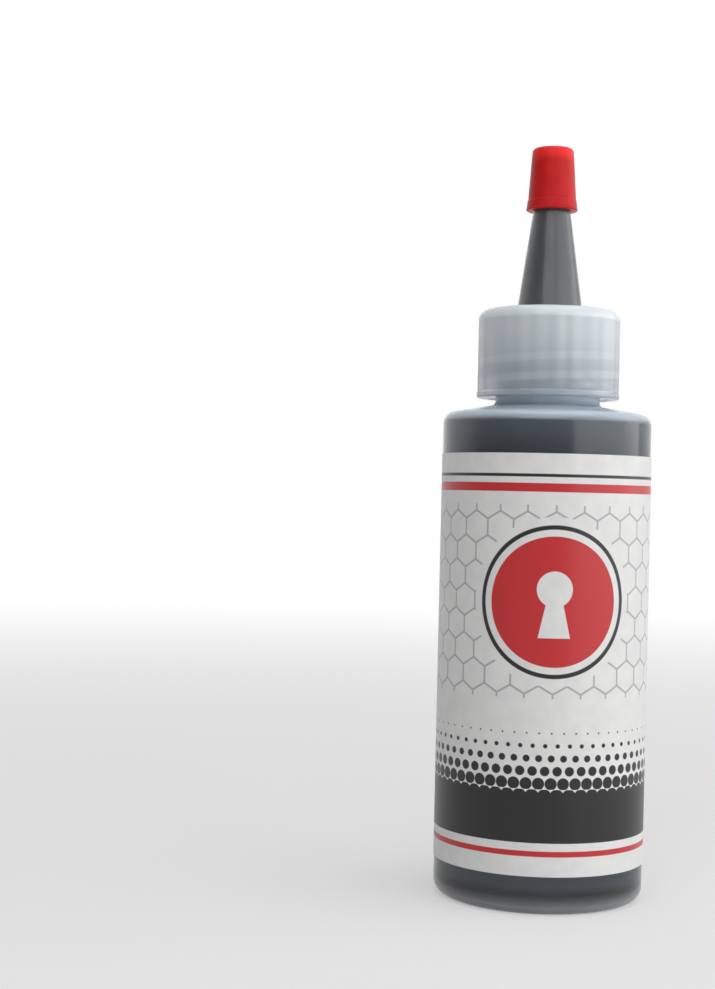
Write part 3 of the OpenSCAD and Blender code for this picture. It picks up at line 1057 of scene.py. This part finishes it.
# floor: a round pale sheet whose far part melts into the white surroundings
stageLook = {
    "radius": 3.0,
    "rings": 24,
    "spokes": 64,
    "shade": (0.85, 0.85, 0.85, 1),
    "rough": 0.9,
    "gloss": 0.1,
    "fadeFrom": 0.05,
    "fadeTo": 0.8,
    "glowNear": 0.4,
    "white": 1.0,
    "front": 0.25,
    "frontSpan": (-0.3, 0.4),
    "ambient": 0.15,
}


# 1 for rays that show the surroundings, from the camera or by way of gloss or clear plastic
def seenDirectly(tree):
    path = tree.nodes.new("ShaderNodeLightPath")
    seen = calc(tree, "MAXIMUM", path.outputs["Is Camera Ray"], path.outputs["Is Glossy Ray"])
    return calc(tree, "MAXIMUM", seen, path.outputs["Is Transmission Ray"])


def buildFloor():
    look = stageLook
    rings = look["radius"] * np.linspace(0, 1, look["rings"])[1:, None] ** 2
    angles = roundAngles(look["spokes"])
    x, y = rings * np.cos(angles), rings * np.sin(angles)
    points = np.stack([x, y, 0 * x], axis=-1).reshape(-1, 3)
    index = np.arange(len(points)).reshape(-1, look["spokes"])
    around = np.roll(index, -1, axis=1)
    quads = np.stack([index[:-1], index[1:], around[1:], around[:-1]], axis=-1).reshape(-1, 4)
    hub = np.stack([np.full(look["spokes"], len(points)), index[0], around[0]], axis=1)
    mesh = bpy.data.meshes.new("paleFloor")
    mesh.from_pydata(np.concatenate([points, np.zeros((1, 3))]).tolist(), [], quads.tolist() + hub.tolist())
    floor = bpy.data.objects.new("paleFloor", mesh)
    scene.collection.objects.link(floor)
    material, tree, shader = newMaterial("paleFloor")
    shader.inputs["Base Color"].default_value = look["shade"]
    shader.inputs["Roughness"].default_value = look["rough"]
    shader.inputs["Specular IOR Level"].default_value = look["gloss"]
    length = tree.nodes.new("ShaderNodeVectorMath")
    length.operation = "LENGTH"
    tree.links.new(objectPlace(tree), length.inputs[0])
    fade = remap(tree, length.outputs["Value"], look["fadeFrom"], look["fadeTo"], look["glowNear"], 1, True)
    glow = tree.nodes.new("ShaderNodeEmission")
    glow.inputs["Strength"].default_value = look["white"]
    mix = tree.nodes.new("ShaderNodeMixShader")
    tree.links.new(calc(tree, "MULTIPLY", fade, seenDirectly(tree)), mix.inputs["Fac"])
    tree.links.new(shader.outputs[0], mix.inputs[1])
    tree.links.new(glow.outputs[0], mix.inputs[2])
    tree.links.new(mix.outputs[0], tree.nodes["Material Output"].inputs["Surface"])
    mesh.materials.append(material)


def buildWorld():
    world = bpy.data.worlds.new("softRoom")
    world.use_nodes = True
    tree = world.node_tree
    background = tree.nodes["Background"]
    background.inputs["Color"].default_value = (1, 1, 1, 1)
    # gloss and clear plastic show the white surroundings behind the bottle and a dimmer room in front of it
    direction = tree.nodes.new("ShaderNodeSeparateXYZ")
    tree.links.new(tree.nodes.new("ShaderNodeTexCoord").outputs["Generated"], direction.inputs[0])
    look = stageLook
    room = remap(tree, direction.outputs[1], *look["frontSpan"], look["front"], look["white"], True)
    path = tree.nodes.new("ShaderNodeLightPath")
    room = calc(tree, "MAXIMUM", room, path.outputs["Is Camera Ray"])
    strength = remap(tree, seenDirectly(tree), 0, 1, look["ambient"], room)
    feed(tree, background.inputs["Strength"], strength)
    scene.world = world


# soft boxes: place and aim in metres, size in metres, power in watts
lampLook = {
    "keyRight": {"place": (0.84, -0.33, 0.32), "size": (1.9, 0.8), "power": 8.2},
    "fillFront": {"place": (-0.15, -0.85, 0.72), "size": (0.9, 0.6), "power": 3.4},
    "overhead": {"place": (0.05, 0.0, 0.75), "size": (0.6, 0.6), "power": 1.6},
}
lampAim = (0.0, 0.0, 0.065)
steepLamp = 0.2  # sine of the lean under which a lamp's side is the x axis


def buildLamps():
    for name, look in lampLook.items():
        data = bpy.data.lights.new(name, "AREA")
        data.shape = "RECTANGLE"
        data.size, data.size_y = look["size"]
        data.energy = look["power"]
        lamp = bpy.data.objects.new(name, data)
        place = np.array(look["place"])
        away = place - np.array(lampAim)
        away /= np.linalg.norm(away)
        side = np.cross((0, 0, 1), away)
        if np.linalg.norm(side) < steepLamp:
            side = np.array((1.0, 0, 0))
        side = side / np.linalg.norm(side)
        turn = np.stack([side, np.cross(away, side), away], axis=1)
        lamp.matrix_world = Matrix.Translation(place) @ Matrix(turn.tolist()).to_4x4()
        scene.collection.objects.link(lamp)


# camera: level, a little to the left of the bottle, rolled so that the bottle leans as in the photograph
cameraLook = {
    "distance": 300.0,
    "left": 31.9,
    "height": 66.9,
    "focalPixels": 1767.0,
    "imageHeight": 989.0,
    "sensor": 36.0,
    "roll": 1.3,
    "nearest": 10.0,
}


def buildCamera():
    look = cameraLook
    data = bpy.data.cameras.new("photoView")
    data.sensor_width = look["sensor"]
    data.lens = look["focalPixels"] / look["imageHeight"] * look["sensor"]
    data.clip_start = look["nearest"] * mm
    camera = bpy.data.objects.new("photoView", data)
    place = Matrix.Translation((-look["left"] * mm, -look["distance"] * mm, look["height"] * mm))
    level = Matrix.Rotation(math.radians(90), 4, "X")
    camera.matrix_world = place @ level @ Matrix.Rotation(math.radians(look["roll"]), 4, "Z")
    scene.collection.objects.link(camera)
    scene.camera = camera


buildFloor()
buildWorld()
buildLamps()
buildCamera()
scene.view_settings.view_transform = "Standard"
print("stage ready")
